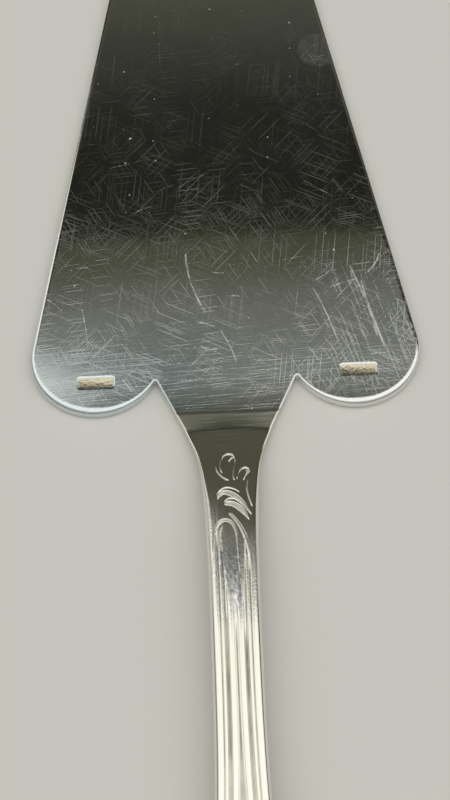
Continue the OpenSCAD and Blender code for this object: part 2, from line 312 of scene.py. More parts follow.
def drawn_out(tree, place, degrees, along, across, seed):
    """Coordinates for a pattern of one size along a direction and another across it, in millimetres."""
    shift = (seed * SEED_SHIFT[0], seed * SEED_SHIFT[1], 0.0)
    turn = (0.0, 0.0, math.radians(degrees))
    size = (along, across, 1.0)
    return add(tree, "ShaderNodeMapping", {
        "Vector": place, "Location": shift, "Rotation": turn, "Scale": size}, vector_type="TEXTURE")


def brushed(tree, place, degrees, along, across, seed, cover=BRUSH_COVER):
    """Fine scratches side by side in one direction: noise drawn out along it, kept where it is high."""
    lay = drawn_out(tree, place, degrees, along, across, seed)
    return blotches(tree, lay, 1.0, 1.0, cover)


# A cut fades out between two shares of its cell's length, and a scratch between two of its half length.
# Both are full over the middle share of their width. The higher the power, the fewer cuts are deep.
CUT_ENDS = (0.5, 0.2)
SCRATCH_ENDS = (0.5, 1.0, 1.0, 0.0)
CORE_SHARE = 0.3
CUT_POWER = 1.6


def cuts(tree, place, degrees, along, across, half_width, seed):
    """Straight scratches in one direction, one in each cell of a drawn-out net, some deep and most faint."""
    lay = drawn_out(tree, place, degrees, along, across, seed)
    cells = add(tree, "ShaderNodeTexVoronoi", {"Vector": lay, "Scale": 1.0}, voronoi_dimensions="2D")
    off = add(tree, "ShaderNodeVectorMath", (lay, cells.outputs["Position"]), operation="SUBTRACT")
    off = add(tree, "ShaderNodeVectorMath", (off,), operation="ABSOLUTE")
    off = add(tree, "ShaderNodeSeparateXYZ", (off,)).outputs
    ends = add(tree, "ShaderNodeMapRange", (off[0], *CUT_ENDS), **SOFT)
    edge = half_width / across
    line = add(tree, "ShaderNodeMapRange", (off[1], edge, CORE_SHARE * edge), **SOFT)
    chance = add(tree, "ShaderNodeSeparateColor", (cells.outputs["Color"],)).outputs
    deep = add(tree, "ShaderNodeMath", (chance[0], CUT_POWER), operation="POWER")
    line = add(tree, "ShaderNodeMath", (line, ends), operation="MULTIPLY")
    return add(tree, "ShaderNodeMath", (line, deep), operation="MULTIPLY")


def scratch(tree, place, start, end, bow, half_width):
    """One scratch from a start to an end, bowed to its left by some millimetres."""
    run = np.subtract(end, start)
    middle = np.add(start, end) / 2
    lay = add(tree, "ShaderNodeMapping", {
        "Vector": place, "Location": (*middle, 0.0), "Rotation": (0.0, 0.0, math.atan2(run[1], run[0])),
        "Scale": (math.hypot(*run) / 2, 1.0, 1.0)}, vector_type="TEXTURE")
    spot = add(tree, "ShaderNodeSeparateXYZ", (lay,)).outputs
    square = add(tree, "ShaderNodeMath", (spot[0], spot[0]), operation="MULTIPLY")
    bent = add(tree, "ShaderNodeMath", (square, bow, spot[1]), operation="MULTIPLY_ADD")
    aside = add(tree, "ShaderNodeMath", (bent, bow), operation="SUBTRACT")
    across = add(tree, "ShaderNodeMath", (aside,), operation="ABSOLUTE")
    line = add(tree, "ShaderNodeMapRange", (across, CORE_SHARE * half_width, half_width, 1.0, 0.0), **SOFT)
    ends = add(tree, "ShaderNodeMapRange", (square, *SCRATCH_ENDS), **SOFT)
    return add(tree, "ShaderNodeMath", (line, ends), operation="MULTIPLY")


# Rolled and polished silver plate: a near mirror with the faint waves of the sheet, dulled by fine cuts
# and cloth wear from use, denser towards the lobes, with a faint olive tarnish. The real scratches are
# a few hundredths of a millimetre wide, too fine to show, so they are drawn 0.1 to 0.3 mm wide.
SILVER = "#EAECEA"
SILVER_TARNISHED = "#DCDBC8"
SILVER_BLUED = "#D3DFE4"
STRUCK_GROUND = "#D6CEB6"
POLISHED_ROUGH = 0.022
# Fine cuts in several directions: degrees, lengths, gap, half width and depth, in patches of their own.
# Patches are blotches: so many to the millimetre, their detail, and two levels with the share at each.
WEAR_DIRECTIONS = (6, 48, 83, 118, 152)
WEAR_LENGTHS = (5.0, 8.0, 11.0)
WEAR_GAP = 0.42
WEAR_HALF_W = 0.075
WEAR_DEPTH = 0.0018
PATCH_SHIFT = (47.0, 23.0)
PATCHES = (0.06, 2.0, (0.3, 0.7, 0.5, 1.0))
# Strokes of the buff: degrees, length, gap, seed and the two levels of the noise
LOBE_STROKES = (105, 16.0, 0.26, 11, (0.50, 0.72))
NECK_STROKES = (3, 9.0, 0.18, 12, (0.52, 0.75))
# Where wear and tarnish lie: from one x or y to another, with the share at each where it isn't 0 and 1
WORN = (50.0, 14.0, 0.5, 1.0)
AT_SEAM = (3.0, 8.0, 0.5, 1.0)
RIGHT_LOBE = (11.0, 20.0)
BELOW = (31.0, 24.0)
NEAR = (22.0, 9.0)
RUBBED = (10.0, 36.0, 0.1, 1.0)
LEFT_HALF = (4.0, -8.0, 0.0, 0.7)
# Single scratches: start, end, bow and half width
SCRATCHES = (
    ((-5.6, 32.3), (-2.4, 19.5), -0.9, 0.20), ((-4.1, 18.5), (-1.2, 17.4), 0.1, 0.18),
    ((-3.7, 14.2), (-2.7, 13.4), 0.0, 0.16), ((-2.7, 13.4), (-1.0, 13.5), 0.0, 0.16),
    ((-0.9, 17.4), (1.9, 10.3), 0.3, 0.12), ((24.9, 30.4), (22.4, 26.1), 0.5, 0.20),
    ((-1.9, 27.5), (0.5, 27.3), 0.0, 0.14), ((-23.3, 29.3), (-20.9, 29.3), 0.0, 0.14),
    ((9.4, 29.3), (13.5, 30.0), 0.0, 0.12), ((14.6, 25.3), (16.8, 26.8), 0.0, 0.14),
    ((16.6, 23.8), (21.1, 25.3), 0.1, 0.12), ((1.0, 22.9), (2.7, 22.8), 0.2, 0.14),
    ((-15.9, 8.8), (-14.3, 6.4), 0.0, 0.16), ((-17.7, 48.1), (-13.8, 48.9), 0.1, 0.08),
    ((-13.8, 48.9), (-10.6, 49.9), 0.1, 0.06), ((-8.7, 81.4), (-8.8, 67.3), 0.0, 0.06),
    ((3.1, 67.8), (4.4, 68.4), 0.0, 0.12), ((4.3, 78.8), (5.4, 79.3), 0.1, 0.10),
    ((9.4, 79.6), (10.5, 79.6), 0.0, 0.10), ((11.0, 54.8), (13.0, 56.5), 0.1, 0.07),
    ((13.8, 56.0), (16.5, 53.5), 0.2, 0.07), ((13.3, 44.6), (18.6, 40.6), 0.1, 0.07),
    ((-10.1, 43.2), (-6.9, 44.6), 0.0, 0.07), ((-6.6, 43.7), (-0.9, 46.8), 0.2, 0.07),
    ((18.5, 51.8), (21.6, 50.0), 0.0, 0.06), ((-4.2, 53.4), (-2.2, 51.6), 0.0, 0.07),
    ((4.8, 51.2), (6.5, 49.8), 0.1, 0.07), ((-14.7, 38.6), (-10.1, 40.7), 0.2, 0.07),
    ((-27.7, 23.9), (-25.1, 21.4), 0.2, 0.10), ((-22.0, 22.2), (-21.0, 14.1), 0.1, 0.07),
    ((19.9, 28.4), (24.6, 12.3), 0.2, 0.22), ((21.5, 25.9), (23.7, 13.9), 0.0, 0.24),
    ((13.9, 24.3), (17.7, 13.0), 0.3, 0.14), ((-22.0, 22.0), (-21.5, 18.8), 0.0, 0.14))
plate, tree, place = metal("polished_silver_plate")
spot = add(tree, "ShaderNodeSeparateXYZ", (place,)).outputs
worn = add(tree, "ShaderNodeMapRange", (spot[1], *WORN), **SOFT)
hair = None
for seed, degrees in enumerate(WEAR_DIRECTIONS):
    length = WEAR_LENGTHS[seed % len(WEAR_LENGTHS)]
    lines = cuts(tree, place, degrees, length, WEAR_GAP, WEAR_HALF_W, seed)
    shift = (seed * PATCH_SHIFT[0], seed * PATCH_SHIFT[1], 0.0)
    lay = add(tree, "ShaderNodeMapping", {"Vector": place, "Location": shift})
    layer = add(tree, "ShaderNodeMath", (lines, blotches(tree, lay, *PATCHES)), operation="MULTIPLY")
    hair = layer if hair is None else add(tree, "ShaderNodeMath", (hair, layer), operation="MAXIMUM")
at_seam = add(tree, "ShaderNodeMapRange", (spot[1], *AT_SEAM), **SOFT)
for share in (worn, at_seam):
    hair = add(tree, "ShaderNodeMath", (hair, share), operation="MULTIPLY")
# Longer strokes: a set that runs over the right lobe, and polishing strokes across the neck and the lobes
right_lobe = add(tree, "ShaderNodeMapRange", (spot[0], *RIGHT_LOBE), **SOFT)
below = add(tree, "ShaderNodeMapRange", (spot[1], *BELOW), **SOFT)
near = add(tree, "ShaderNodeMapRange", (spot[1], *NEAR), **SOFT)
strokes = brushed(tree, place, *LOBE_STROKES)
for share in (right_lobe, below):
    strokes = add(tree, "ShaderNodeMath", (strokes, share), operation="MULTIPLY")
across_neck = brushed(tree, place, *NECK_STROKES)
across_neck = add(tree, "ShaderNodeMath", (across_neck, near), operation="MULTIPLY")
strokes = add(tree, "ShaderNodeMath", (strokes, across_neck), operation="MAXIMUM")
# Single scratches, fainter in places
BREAKS = (0.6, 2.0, (0.3, 0.65, 0.4, 1.0))
marks = None
for start, end, bow, half_width in SCRATCHES:
    layer = scratch(tree, place, start, end, bow, half_width)
    marks = layer if marks is None else add(tree, "ShaderNodeMath", (marks, layer), operation="MAXIMUM")
for share in (blotches(tree, place, *BREAKS), worn):
    marks = add(tree, "ShaderNodeMath", (marks, share), operation="MULTIPLY")
# Small nicks, ragged and up to 0.3 mm across, and the dull print of a dried drop by the right edge.
# A nick's radius is a share of its cell, spread by chance from below nothing, so half of them are missing
RAGGED_PER_MM = 3.0
RAGGED_BY = (0.35, 0.35, 0.0)
NICKS_PER_MM = 0.22
NICK_SPREAD_SHARE = 0.07
NICK_LEAST_SHARE = -0.035
DROP_PLACE = (17.6, 70.6, 0.0)
DROP_EDGE = (3.4, 4.2, 1.0, 0.0)
ragged = add(tree, "ShaderNodeTexNoise", {"Vector": place, "Scale": RAGGED_PER_MM}, noise_dimensions="2D")
nudged = add(tree, "ShaderNodeVectorMath", (
    ragged.outputs["Color"], RAGGED_BY, place), operation="MULTIPLY_ADD")
nicks = add(tree, "ShaderNodeTexVoronoi", {"Vector": nudged, "Scale": NICKS_PER_MM}, voronoi_dimensions="2D")
chance = add(tree, "ShaderNodeSeparateColor", (nicks.outputs["Color"],)).outputs
nick_size = add(tree, "ShaderNodeMath", (
    chance[0], NICK_SPREAD_SHARE, NICK_LEAST_SHARE), operation="MULTIPLY_ADD")
nick = add(tree, "ShaderNodeMath", (nicks.outputs["Distance"], nick_size), operation="LESS_THAN")
nick = add(tree, "ShaderNodeMath", (nick, chance[1]), operation="MULTIPLY")
from_drop = add(tree, "ShaderNodeVectorMath", (nudged, DROP_PLACE), operation="DISTANCE").outputs["Value"]
drop = add(tree, "ShaderNodeMapRange", (from_drop, *DROP_EDGE), **SOFT)
# Roughness of the polished ground, raised by each kind of wear
HAZE_PER_MM = 0.11
haze = add(tree, "ShaderNodeTexNoise", {
    "Vector": place, "Scale": HAZE_PER_MM, "Detail": 3.0}, noise_dimensions="2D")
haze = add(tree, "ShaderNodeMath", (haze, worn), operation="MULTIPLY")
struck = add(tree, "ShaderNodeAttribute", attribute_name="struck").outputs["Fac"]
wear_shares = (
    (haze, 0.015), (hair, 0.33), (strokes, 0.18), (marks, 0.32), (nick, 0.55), (drop, 0.10), (struck, 0.16))
rough = raised(tree, POLISHED_ROUGH, wear_shares)
# Films over the silver: an olive tarnish in stains, a blue one on the left lobe, and the struck ground
STAINS = (0.05, 4.0, (0.40, 0.70, 0.0, 0.6), "3D", 0.6)
stained = blotches(tree, place, *STAINS)
rubbed = add(tree, "ShaderNodeMapRange", (spot[1], *RUBBED), **SOFT)
stained = add(tree, "ShaderNodeMath", (stained, rubbed), operation="MULTIPLY")
left_half = add(tree, "ShaderNodeMapRange", (spot[0], *LEFT_HALF), **SOFT)
blued = add(tree, "ShaderNodeMath", (left_half, near), operation="MULTIPLY")
films = ((stained, SILVER_TARNISHED), (blued, SILVER_BLUED), (struck, STRUCK_GROUND))
tint = filmed(tree, linear(SILVER), films)
# Relief that the flat mesh doesn't have, in millimetres: waves of the sheet, a matted ground in the
# cartouches, the cuts and strokes, the heel, which starts to turn up towards the handle just behind
# the notches, and the left lobe, which is bent down a little
WAVE_LENGTH = 16.0
WAVE_HEIGHT = 0.018
GRAIN = 0.45
GRAIN_HEIGHT = 0.06
HEEL_SLOPE = 0.030
LOBE_BEND_FROM = (-9.0, 22.0)
LOBE_BEND = 0.00008
waves = add(tree, "ShaderNodeTexNoise", {
    "Vector": place, "Scale": 1 / WAVE_LENGTH, "Detail": 1.0}, noise_dimensions="2D")
grain = add(tree, "ShaderNodeTexNoise", {"Vector": place, "Scale": 1 / GRAIN}, noise_dimensions="2D")
grain = add(tree, "ShaderNodeMath", (grain, struck), operation="MULTIPLY")
beyond = []
for limit, axis in ((notch_y, 1), (LOBE_BEND_FROM[0], 0), (LOBE_BEND_FROM[1], 1)):
    past = add(tree, "ShaderNodeMath", (limit, spot[axis]), operation="SUBTRACT")
    beyond.append(add(tree, "ShaderNodeMath", (past, 0.0), operation="MAXIMUM"))
past_heel, out_left, out_back = beyond
heel = add(tree, "ShaderNodeMath", (past_heel, past_heel), operation="MULTIPLY")
out_back = add(tree, "ShaderNodeMath", (out_back, out_back), operation="MULTIPLY")
bent = add(tree, "ShaderNodeMath", (out_left, out_back), operation="MULTIPLY")
heights = (
    (waves, WAVE_HEIGHT), (grain, GRAIN_HEIGHT), (hair, WEAR_DEPTH), (strokes, WEAR_DEPTH),
    (heel, HEEL_SLOPE / SEAM_Q / 2), (bent, -LOBE_BEND))
coat(tree, tint, rough, raised(tree, 0.0, heights))
blade_mesh.materials.append(plate)
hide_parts("blade")
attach(blade, "root")

# Handle: a bar of nickel silver struck in a die, with a flared root, a cranked neck and a stem that
# widens to a round end. The reeds, the arched panel and the leaf scrolls are struck with it.
# It is polished on a wheel, soldered to the blade and silver plated.
handle_low, handle_high = [np.array(corner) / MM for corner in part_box("handle")]
SOLDER_T = 0.12
BEND_GAP = 0.3
BEND_R = 30.0
CLIMB_LEN = 34.0
END_DROP = 1.0
STEM_W = 7.3
STEM_T = 4.0
WAIST_Q = 40.0
STEM_SWELL = 1.6
END_W = 18.6
END_T = 2.6
EDGE_R = 0.9
CROWN = 0.6
BELLY = 0.5
NECK_BLEND = 1.3
NECK_BLEND_RUN = 5.0
UPRIGHT_RUN = 6.0
WALL_SHARE = 0.45
PANEL_Q = 25.632
REED_RUN = STEM_W / 2 - EDGE_R
film_q = SOLDER_T * math.hypot(SCARF_LEN, sheet_t) / sheet_t
root_q = SEAM_Q + film_q
bend_q = root_q + BEND_GAP
level_q = bend_q + CLIMB_LEN
handle_len = notch_y - handle_low[1]
end_q = handle_len - END_W / 2
handle_h = handle_high[2]


def ease(v):
    """A soft step from 0 to 1."""
    t = np.clip(v, 0, 1)
    return t * t * (3 - 2 * t)


def handle_half(q):
    """Half width of the handle: the flared neck running softly into the waisted stem."""
    flare = NOTCH_W / 2 - q * math.tan(FLARE)
    before = np.clip(WAIST_Q - q, 0, None) / WAIST_Q
    after = np.clip((q - WAIST_Q) / (end_q - WAIST_Q), 0, 1)
    stem = STEM_W / 2 + STEM_SWELL * before ** 2 + (END_W - STEM_W) / 2 * after ** 4 * (5 - 4 * after)
    soft = NECK_BLEND * ease((q - root_q) / NECK_BLEND_RUN)
    return (flare + stem + np.sqrt((flare - stem) ** 2 + soft ** 2)) / 2


def climb(q, height):
    """Rise of the cranked neck: a concave bend into a long arch that ends level."""
    angle = 2 * math.atan(height / CLIMB_LEN)
    arch_r = CLIMB_LEN / math.sin(angle) - BEND_R
    s = np.clip(q - bend_q, 0, CLIMB_LEN)
    bend = BEND_R - np.sqrt(np.clip(BEND_R ** 2 - s ** 2, 0, None))
    arch = height - arch_r + np.sqrt(arch_r ** 2 - (CLIMB_LEN - s) ** 2)
    return np.where(s < BEND_R * math.sin(angle), bend, arch)


def top_z(q):
    """Height of the middle of the handle's top face."""
    past = np.clip(q - level_q, 0, None) / (handle_len - level_q)
    return sheet_t + climb(q, handle_h - sheet_t) - END_DROP * past ** 2


def back_z(q):
    """Height of the middle of the handle's back."""
    thick = STEM_T + (END_T - STEM_T) * ease((q - level_q) / (end_q - level_q))
    return np.where(q < level_q, climb(q, handle_h - STEM_T), top_z(q) - thick)


def stem_like(q):
    """How far the flat root has turned into the rounded stem."""
    return ease((q - root_q) / (PANEL_Q - root_q))


def edge_round(q, radius):
    """Rounding of the handle's edges, which starts as the sheet's and ends as the stem's."""
    wall = top_z(q) - back_z(q) - (CROWN + BELLY) * stem_like(q)
    return radius + (np.minimum(EDGE_R, WALL_SHARE * wall) - radius) * stem_like(q)


# Stations along the handle as q and the turn round its end: fine under the scrolls
SCROLL_FROM = 13.0
SCROLL_TO = 44.0
SCROLL_STEP = 0.066
ROOT_STEP = 0.3
STEM_STATIONS = 90
END_TURNS = 40
stations = np.concatenate([
    np.arange(root_q, SCROLL_FROM, ROOT_STEP), np.arange(SCROLL_FROM, SCROLL_TO, SCROLL_STEP),
    np.linspace(SCROLL_TO, end_q, STEM_STATIONS)])
turns = np.concatenate([np.zeros(len(stations)), np.linspace(0, math.pi / 2, END_TURNS + 1)[1:]])
stations = np.concatenate([stations, np.full(END_TURNS, end_q)])

# One side of every section as insets from the edge and depths from the top or the back.
# The points of the top crowd together in the band of the reeds.
BACK_SHARES = np.array([[0.25, 0.5, 0.75]])
FOOT_POINTS = 4
RIM_POINTS = 8
TOP_POINTS = 54
BAND_SHARE = 0.78
BAND_SPREAD_RUN = 20.0
FIELD_RUN = 1.5
LEAST_SHARE = 1e-6
q_line = stations[:, None]
round_end = turns[:, None]
half = np.where(round_end > 0, END_W / 2, handle_half(q_line))
rim = edge_round(q_line, RIM_R * NOTCH_RIM_SHARE)
foot = edge_round(q_line, FOOT_R)
slant = 1 / math.cos(FLARE) + (1 - 1 / math.cos(FLARE)) * stem_like(q_line)
foot_turn = np.linspace(0, math.pi / 2, FOOT_POINTS)[None]
rim_turn = np.linspace(0, math.pi / 2, RIM_POINTS)[None]
field = half - slant * rim
band_run = np.minimum(field, REED_RUN)
band_far = 1 + (BAND_SHARE - 1) * ease((field - REED_RUN) / FIELD_RUN)
band = band_run / field + (band_far - band_run / field) * ease((q_line - WAIST_Q) / BAND_SPREAD_RUN)
along = np.linspace(0, 1, TOP_POINTS + 1)[None, 1:-1]
in_band = np.clip(along / band, 0, 1) * band_run
past_band = np.clip((along - band) / np.maximum(1 - band, LEAST_SHARE), 0, 1) * (field - band_run)
top_inset = slant * rim + in_band + past_band
insets = np.concatenate([
    half * (1 - BACK_SHARES), slant * foot * (1 - np.sin(foot_turn)), slant * rim * (1 - np.cos(rim_turn)),
    top_inset, half], axis=1)
depths = np.concatenate([
    0 * half * BACK_SHARES, foot * (1 - np.cos(foot_turn)), rim * (1 - np.sin(rim_turn)),
    0 * top_inset, 0 * half], axis=1)
back_count = BACK_SHARES.shape[1] + foot_turn.shape[1]
is_top = np.arange(insets.shape[1]) >= back_count


def handle_points(side):
    """Points of one side of every section, in millimetres, as x, q and z."""
    thick = top_z(q_line) - back_z(q_line)
    rel = np.where(is_top, 1 - depths / thick, depths / thick)
    lean = SCARF_LEN * (1 - ease((q_line - root_q) / UPRIGHT_RUN))
    q0 = q_line - lean * (1 - rel)
    width = np.where(round_end > 0, END_W / 2, handle_half(q0))
    share = 1 - insets / half
    x = side * width * share * np.cos(round_end)
    q = q0 + width * share * np.sin(round_end)
    bow = share ** 2 * stem_like(q_line)
    z = np.where(is_top, top_z(q) - CROWN * bow - depths, back_z(q) + BELLY * bow + depths)
    return np.stack([x, q, z], axis=2)


# Every point keeps its distance from the top's edge, or a mark where it lies on the back
BACK_MARK = -1.0
WELD = 1e-7
SLIVER = 1e-8
right_side = handle_points(1)
left_side = handle_points(-1)[:, -2::-1]
back_middle = np.stack([0 * q_line, q_line, back_z(q_line)], axis=2)
grid = np.concatenate([back_middle, right_side, left_side], axis=1)
edge_side = np.where(is_top, insets - rim, BACK_MARK)
edge_grid = np.concatenate([0 * q_line + BACK_MARK, edge_side, edge_side[:, -2::-1]], axis=1)
section = grid.shape[1]
points = grid.reshape(-1, 3)
points = np.stack([points[:, 0], notch_y - points[:, 1], points[:, 2]], axis=1) * MM
faces = []
for i in range(len(stations) - 1):
    for j in range(section):
        k = (j + 1) % section
        faces.append((i * section + j, (i + 1) * section + j, (i + 1) * section + k, i * section + k))
faces.append(tuple(range(section)))
handle_mesh = bpy.data.meshes.new("struck_handle")
handle_mesh.from_pydata(points.tolist(), [], faces)
handle_mesh.attributes.new("edge_mm", "FLOAT", "POINT").data.foreach_set("value", edge_grid.ravel())
bar = bmesh.new()
bar.from_mesh(handle_mesh)
bmesh.ops.remove_doubles(bar, verts=bar.verts, dist=WELD)
bmesh.ops.dissolve_degenerate(bar, dist=SLIVER, edges=bar.edges)
bmesh.ops.recalc_face_normals(bar, faces=bar.faces)
bar.to_mesh(handle_mesh)
bar.free()
handle_mesh.shade_smooth()
handle = placed("struck_handle", handle_mesh)

# Lines of the leaf scrolls, each a chain of Bezier curves in x and q,
# with its half widths at the start, the middle and the end
SCROLL_LINES = (
    ((-1.91, 22.6), (-1.81, 20.8), (0.51, 20.9), (2.93, 25.6), 0.20, 0.23, 0.08),
    ((-1.83, 21.4), (-1.21, 20.3), (0.20, 20.4), (1.31, 21.6), 0.07, 0.08, 0.06),
    ((-0.96, 23.7), (0.00, 23.3), (1.21, 23.9), (2.53, 26.5), 0.21, 0.24, 0.08),
    ((-0.99, 23.3), (-0.60, 22.4), (0.41, 22.5), (1.21, 23.2), 0.07, 0.08, 0.06),
    ((-0.40, 25.4), (0.91, 26.8), (2.23, 29.3), (2.48, 34.1), 0.11, 0.19, 0.19),
    ((-2.57, 29.3), (-2.42, 25.6), (0.51, 25.6), (0.61, 29.8), 0.15, 0.14, 0.10),
    ((2.44, 33.0), (2.56, 36.1), (2.64, 40.0), (2.79, 43.9), 0.19, 0.20, 0.20),
    ((-2.78, 36.1), (-2.68, 33.2), (-2.63, 31.2), (-2.57, 29.0), 0.18, 0.16, 0.15),
    ((0.59, 29.2), (0.76, 31.7), (0.81, 36.1), (1.27, 41.0), 0.10, 0.10, 0.10),
    ((-1.40, 27.6), (-1.97, 28.2), (-1.92, 30.3), (-1.87, 34.1), 0.08, 0.10, 0.10),
    ((1.79, 29.8), (1.72, 31.2), (1.72, 34.1), (1.83, 39.0), 0.08, 0.10, 0.10),
    ((0.64, 19.3), (0.00, 16.9), (1.41, 15.7), (0.60, 14.4), (-0.50, 13.3), (-2.11, 15.1), (-1.16, 17.8),
     0.09, 0.10, 0.09),
    ((0.05, 14.1), (0.35, 14.1), (0.55, 14.3), (0.62, 14.5), 0.09, 0.13, 0.12),
    ((0.66, 14.7), (0.30, 14.8), (0.00, 15.2), (-0.13, 15.8), 0.14, 0.11, 0.07),
    ((-2.01, 16.3), (-2.11, 17.9), (-0.90, 18.9), (-0.20, 19.3), 0.09, 0.11, 0.09),
    ((1.01, 19.1), (1.11, 17.2), (2.21, 16.3), (2.85, 17.2), 0.09, 0.10, 0.11),
    ((2.93, 17.4), (2.60, 17.6), (2.20, 18.3), (1.97, 19.3), 0.20, 0.14, 0.08),
    ((2.67, 19.0), (2.12, 20.3), (2.52, 22.2), (3.08, 24.1), 0.09, 0.11, 0.09),
)
CURVE_POINTS = 48
NOSE_LEN = 0.4
NOSE_LEAST_SHARE = 0.1
lines = bpy.data.curves.new("scroll_lines", "CURVE")
lines.dimensions = "3D"
for *controls, start_w, middle_w, end_w in SCROLL_LINES:
    t = np.linspace(0, 1, CURVE_POINTS)[:, None]
    drawn = []
    for i in range(0, len(controls) - 1, 3):
        a, b, c, d = np.array(controls[i:i + 4])
        piece = a * (1 - t) ** 3 + 3 * b * t * (1 - t) ** 2 + 3 * c * t ** 2 * (1 - t) + d * t ** 3
        drawn.append(piece if i == 0 else piece[1:])
    curve = np.concatenate(drawn)
    run = np.concatenate([[0], np.cumsum(np.linalg.norm(np.diff(curve, axis=0), axis=1))])
    half_width = np.interp(run / run[-1], (0, 0.5, 1), (start_w, middle_w, end_w))
    nose = np.sqrt(np.clip(np.minimum(run, run[-1] - run) / NOSE_LEN, NOSE_LEAST_SHARE, 1))
    spline = lines.splines.new("POLY")
    spline.points.add(len(curve) - 1)
    for point, (x, q), width in zip(spline.points, curve, half_width * nose):
        point.co = (x * MM, (notch_y - q) * MM, 0.0, 1.0)
        point.radius = width * MM
scroll_lines = placed("scroll_lines", lines)

# The die's relief, as a tree that lifts the smooth top face: reeds by the distance from the edge,
# scrolls by the distance from each of their lines in turn. Hollows and crests are kept for the finish.
# A section is heights at shares of its width. Lengths are in metres, and the reeds' run in millimetres.
REED_SECTION = (
    (0.0, 1.0), (0.10, 0.93), (0.17, 0.60), (0.205, 0.0), (0.235, 0.55), (0.31, 0.80), (0.39, 0.55),
    (0.44, 0.08), (0.48, 0.0), (0.55, 0.0), (0.58, 0.40), (0.66, 0.85), (0.76, 1.0), (0.85, 0.88),
    (0.92, 0.50), (0.97, 0.12), (1.0, 0.0))
RIDGE_SECTION = ((0.0, 1.0), (0.14, 0.95), (0.28, 0.72), (0.40, 0.38), (0.50, 0.12), (0.60, 0.0), (1.0, 0.0))
MOAT_SECTION = ((0.0, 0.0), (0.35, 0.0), (0.50, 0.6), (0.62, 1.0), (0.80, 0.5), (1.0, 0.0))
DIE_SIZES = {
    "Scroll height": 0.45 * MM, "Broad ridge": 0.36 * MM, "Moat depth": 0.11 * MM, "Reed depth": 0.4 * MM,
    "Reed run": REED_RUN, "Reed start": 29.5 * MM, "Reed fade": 4.0 * MM, "Middle delay": 6.0 * MM,
    "Sink start": 26.0 * MM, "Sink run": 12.0 * MM, "Notch line": notch_y * MM}
# The reeds start later to the right by the lean. A ridge and its moat reach so many half widths,
# a thin line is lower than a broad one by the power, and a moat shows where it is bare of ridges.
# The numbers of two lines are the same when they are less than a half apart.
TOP_ABOVE = 0.95 * BACK_MARK
MIDDLE_LANES = (0.42, 0.52)
REED_LEAN = 0.9
SCROLL_REACH = 2.0
THIN_POWER = 0.6
BARE_OF_RIDGES = (0.05, 0.3, 1.0, 0.0)
MOAT_TARNISH = 1.5
SAME_WITHIN = 0.5
relief = bpy.data.node_groups.new("struck_relief", "GeometryNodeTree")
KINDS = {
    "Geometry": "NodeSocketGeometry", "Scroll lines": "NodeSocketObject", "Line count": "NodeSocketInt",
    **dict.fromkeys(DIE_SIZES, "NodeSocketFloat"), "Metal": "NodeSocketMaterial"}
sockets = {n: relief.interface.new_socket(name=n, in_out="INPUT", socket_type=k) for n, k in KINDS.items()}
relief.interface.new_socket(name="Geometry", in_out="OUTPUT", socket_type="NodeSocketGeometry")
given = add(relief, "NodeGroupInput").outputs
here = add(relief, "GeometryNodeInputPosition")
spot = add(relief, "ShaderNodeSeparateXYZ", (here,)).outputs
flat = add(relief, "ShaderNodeCombineXYZ", (spot[0], spot[1]))
stored = {}
for name in ("edge_mm", "half_width", "ridge", "moat"):
    stored[name] = add(relief, "GeometryNodeInputNamedAttribute", {"Name": name}, data_type="FLOAT")
edge = stored["edge_mm"]
on_top = add(relief, "ShaderNodeMath", (edge, TOP_ABOVE), operation="GREATER_THAN")
# Reeds: the border and its threads rise under the arch, the two in the middle come up later and slower
q_here = add(relief, "ShaderNodeMath", (given["Notch line"], spot[1]), operation="SUBTRACT")
lane = add(relief, "ShaderNodeMath", (edge, given["Reed run"]), operation="DIVIDE", use_clamp=True)
inner = add(relief, "ShaderNodeMapRange", (lane, *MIDDLE_LANES), **SOFT)
start = add(relief, "ShaderNodeMath", (spot[0], REED_LEAN, given["Reed start"]), operation="MULTIPLY_ADD")
start = add(relief, "ShaderNodeMath", (inner, given["Middle delay"], start), operation="MULTIPLY_ADD")
fade = add(relief, "ShaderNodeMath", (
    inner, given["Middle delay"], given["Reed fade"]), operation="MULTIPLY_ADD")
past = add(relief, "ShaderNodeMath", (q_here, start), operation="SUBTRACT")
past = add(relief, "ShaderNodeMath", (past, fade), operation="DIVIDE")
reed_on = add(relief, "ShaderNodeMapRange", (past,), **SOFT)
# Scrolls: the highest ridge and the deepest moat over all lines
drawing = add(relief, "GeometryNodeObjectInfo", {"Object": given["Scroll lines"]}).outputs["Geometry"]
radius = add(relief, "GeometryNodeInputRadius")
measured = add(relief, "GeometryNodeStoreNamedAttribute", {
    0: drawing, "Name": "half_width", "Value": radius}, data_type="FLOAT", domain="POINT")
first = add(relief, "GeometryNodeRepeatInput")
last = add(relief, "GeometryNodeRepeatOutput")
first.pair_with_output(last)
relief.links.new(given["Line count"], first.inputs["Iterations"])
relief.links.new(given["Geometry"], first.inputs["Geometry"])
index = add(relief, "GeometryNodeInputIndex")
is_line = add(relief, "ShaderNodeMath", (
    index, first.outputs["Iteration"], SAME_WITHIN), operation="COMPARE")
line = add(relief, "GeometryNodeSeparateGeometry", (measured, is_line), domain="CURVE")
wire = add(relief, "GeometryNodeCurveToMesh", (line,))
gap = add(relief, "GeometryNodeProximity", {0: wire, "Sample Position": flat}, target_element="EDGES")
nearest = add(relief, "GeometryNodeSampleNearest", {0: wire, "Sample Position": flat}, domain="POINT")
width = add(relief, "GeometryNodeSampleIndex", {
    0: wire, "Value": stored["half_width"], "Index": nearest}, data_type="FLOAT", domain="POINT")
reach = add(relief, "ShaderNodeMath", (width, SCROLL_REACH), operation="MULTIPLY")
away = add(relief, "ShaderNodeMath", (gap.outputs["Distance"], reach), operation="DIVIDE", use_clamp=True)
broad = add(relief, "ShaderNodeMath", (width, given["Broad ridge"]), operation="DIVIDE", use_clamp=True)
